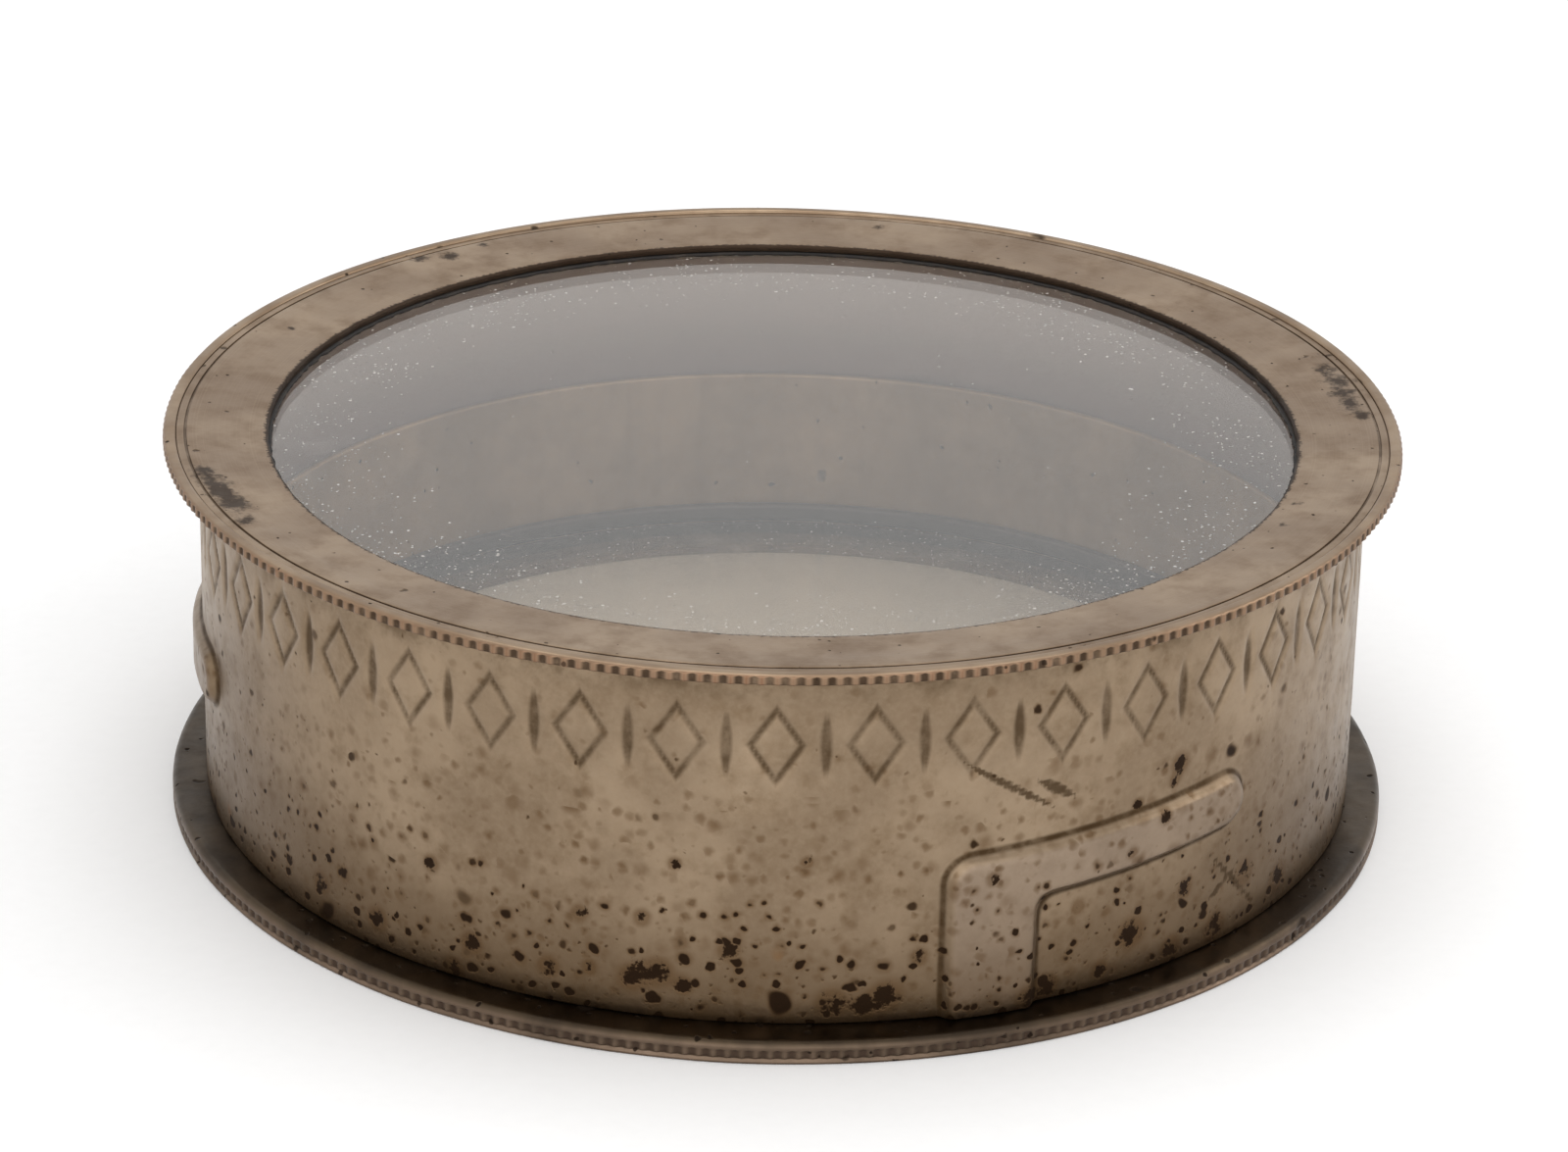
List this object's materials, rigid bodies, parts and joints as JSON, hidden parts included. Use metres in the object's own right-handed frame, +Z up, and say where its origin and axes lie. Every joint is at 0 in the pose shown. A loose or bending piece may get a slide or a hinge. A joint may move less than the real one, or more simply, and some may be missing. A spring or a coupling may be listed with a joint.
{
  "type": "watch movement display case",
  "caption": "Round twist-lock display case of nickel-plated brass, with milled rims, flat glass in both ends and a cap that turns on embossed bayonet channels.",
  "frame": {"origin": "centre of the base's underside, where the axis of the case meets the surface it stands on", "axes": "+Z up along the case's axis, from the base to the cap; -Y is the front, and angles run from -Y towards +X"},
  "size_m": [0.054, 0.054, 0.0174],
  "materials": {
    "cap_plate": "nickel-plated brass sheet, tarnished and pitted",
    "bezel_plate": "nickel-plated brass ring, smooth with dull tarnish",
    "base_rim_plate": "nickel-plated brass ring, dark with old dirt between worn teeth",
    "base_sleeve_plate": "brass sleeve with dull brown tarnish",
    "sight_glass": "clear flat glass, lightly dusty and scratched",
    "seal_black": "matt black sealing ring",
    "hoop_metal": "dull spring brass",
    "pin_metal": "plain brass, rubbed bright at the tip"
  },
  "bodies": {
    "base": {"base_bezel": "base_rim_plate", "base_sleeve": "base_sleeve_plate", "base_glass_seal": "seal_black", "base_glass": "sight_glass", "base_glass_hoop": "hoop_metal", "bayonet_pin_1": "pin_metal", "bayonet_pin_2": "pin_metal", "bayonet_pin_3": "pin_metal"},
    "lifting_glass": {"top_glass": "sight_glass", "top_glass_seal": "seal_black"},
    "cap": {"cap_sleeve": "cap_plate", "cap_bezel": "bezel_plate", "cap_glass_hoop": "hoop_metal"}
  },
  "joints": [
    {"name": "cap_lift", "type": "slide", "parent": "base", "child": "lifting_glass", "axis": [0, 0, 1], "range_m": [0, 0.03]},
    {"name": "cap_turn", "type": "hinge", "parent": "lifting_glass", "child": "cap", "pos_m": [0, 0, 0.009], "axis": [0, 0, 1], "range_deg": [-25.9, 0]}
  ]
}
